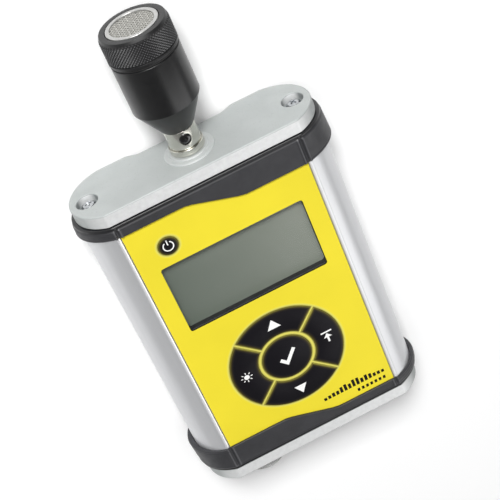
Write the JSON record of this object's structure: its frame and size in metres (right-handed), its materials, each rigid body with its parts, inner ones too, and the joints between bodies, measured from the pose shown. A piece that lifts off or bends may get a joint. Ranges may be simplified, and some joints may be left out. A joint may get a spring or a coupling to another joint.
{
  "type": "sound level meter",
  "caption": "Handheld sound level meter: aluminium case, display, ring keypad, rubber bezels, cast end caps and a plug-in microphone probe with a knurled cap.",
  "frame": {"origin": "middle of the overall box in x and y, at the backs of the two bezels, which the meter lies on", "axes": "+X to the right of the panel, +Y along the meter towards the microphone, +Z out of the front panel"},
  "size_m": [0.1106, 0.2242, 0.0367],
  "materials": {
    "housing_aluminium": "satin anodised extrusion",
    "cap_casting": "fine blasted satin casting",
    "nickel": "nickel plated, lightly brushed",
    "bright_ring": "turned, bright",
    "steel_mesh": "woven wire mesh",
    "zinc_screw": "zinc plated",
    "spring_steel": "bright pressed spring steel",
    "yellow_overlay": "printed yellow, fine matte",
    "key_rubber": "smooth black with printed white symbols",
    "bezel_rubber": "matte dark grey",
    "probe_black": "black anodised, satin",
    "black_plastic": "matte black",
    "seal_rubber": "matte black",
    "foam": "open black foam",
    "clear_window": "clear acrylic",
    "lcd": "grey green reflective display",
    "white_plastic": "white light guide",
    "circuit_board": "green solder mask",
    "cell_wrap": "plain blue shrink wrap"
  },
  "bodies": {
    "meter": {"housing": "housing_aluminium", "front_overlay": "yellow_overlay", "top_bezel": "bezel_rubber", "bottom_bezel": "bezel_rubber", "top_cap": "cap_casting", "bottom_cap": "cap_casting", "case_screw_1": "zinc_screw", "case_screw_2": "zinc_screw", "case_screw_3": "zinc_screw", "case_screw_4": "zinc_screw", "display_gasket": "black_plastic", "display_window": "clear_window", "lcd_glass": "lcd", "lcd_backlight": "white_plastic", "lcd_frame": "black_plastic", "main_board": "circuit_board", "keypad_board": "circuit_board", "board_connector": "black_plastic", "power_switch": "black_plastic", "dome_center": "spring_steel", "dome_up": "spring_steel", "dome_down": "spring_steel", "dome_left": "spring_steel", "dome_right": "spring_steel", "sensor_socket": "nickel", "socket_nut": "nickel", "pot_body": "zinc_screw", "headphone_jack": "black_plastic", "jack_nut": "nickel", "charging_port": "nickel", "battery_tray": "black_plastic", "battery_cell_1": "cell_wrap", "battery_cell_2": "cell_wrap", "battery_cell_3": "cell_wrap", "battery_cell_4": "cell_wrap", "battery_contact_low": "spring_steel", "battery_contact_high": "spring_steel"},
    "power_key": {"key_power": "key_rubber"},
    "up_key": {"key_up": "key_rubber"},
    "right_key": {"key_right": "key_rubber"},
    "down_key": {"key_down": "key_rubber"},
    "left_key": {"key_left": "key_rubber"},
    "center_key": {"key_center": "key_rubber"},
    "volume": {"volume_knob": "nickel", "pot_shaft": "nickel"},
    "probe": {"probe_collar": "nickel", "probe_grub_screw": "black_plastic", "probe_plug": "nickel", "probe_body": "probe_black", "preamp_board": "circuit_board", "mic_capsule": "bright_ring", "probe_seal": "seal_rubber"},
    "grille": {"grille_ring": "bright_ring", "grille_mesh": "steel_mesh", "grille_foam": "foam"},
    "knurled_cap": {"probe_cap": "probe_black"}
  },
  "joints": [
    {"name": "power_key_press", "type": "slide", "parent": "meter", "child": "power_key", "axis": [0, 0, -1], "range_m": [0, 0.00035], "stiffness_N_per_m": 1000},
    {"name": "up_key_press", "type": "slide", "parent": "meter", "child": "up_key", "axis": [0, 0, -1], "range_m": [0, 0.00035], "stiffness_N_per_m": 1000},
    {"name": "right_key_press", "type": "slide", "parent": "meter", "child": "right_key", "axis": [0, 0, -1], "range_m": [0, 0.00035], "stiffness_N_per_m": 1000},
    {"name": "down_key_press", "type": "slide", "parent": "meter", "child": "down_key", "axis": [0, 0, -1], "range_m": [0, 0.00035], "stiffness_N_per_m": 1000},
    {"name": "left_key_press", "type": "slide", "parent": "meter", "child": "left_key", "axis": [0, 0, -1], "range_m": [0, 0.00035], "stiffness_N_per_m": 1000},
    {"name": "center_key_press", "type": "slide", "parent": "meter", "child": "center_key", "axis": [0, 0, -1], "range_m": [0, 0.00035], "stiffness_N_per_m": 1000},
    {"name": "volume_turn", "type": "hinge", "parent": "meter", "child": "volume", "pos_m": [-0.0272, -0.1075, 0.0199], "axis": [0, 1, 0], "range_deg": [-150, 150]},
    {"name": "probe_unplug", "type": "slide", "parent": "meter", "child": "probe", "axis": [0, 1, 0], "range_m": [0, 0.012]},
    {"name": "grille_lift", "type": "slide", "parent": "probe", "child": "grille", "axis": [0, 1, 0], "range_m": [0, 0.003]},
    {"name": "probe_cap_unscrew", "type": "hinge", "parent": "grille", "child": "knurled_cap", "pos_m": [0, 0.1045, 0.0199], "axis": [0, 1, 0], "range_deg": [0, 1080]}
  ],
  "couplings": [
    {"joint": "grille_lift", "follows": "probe_cap_unscrew", "m_per_rad": 0.000159}
  ]
}
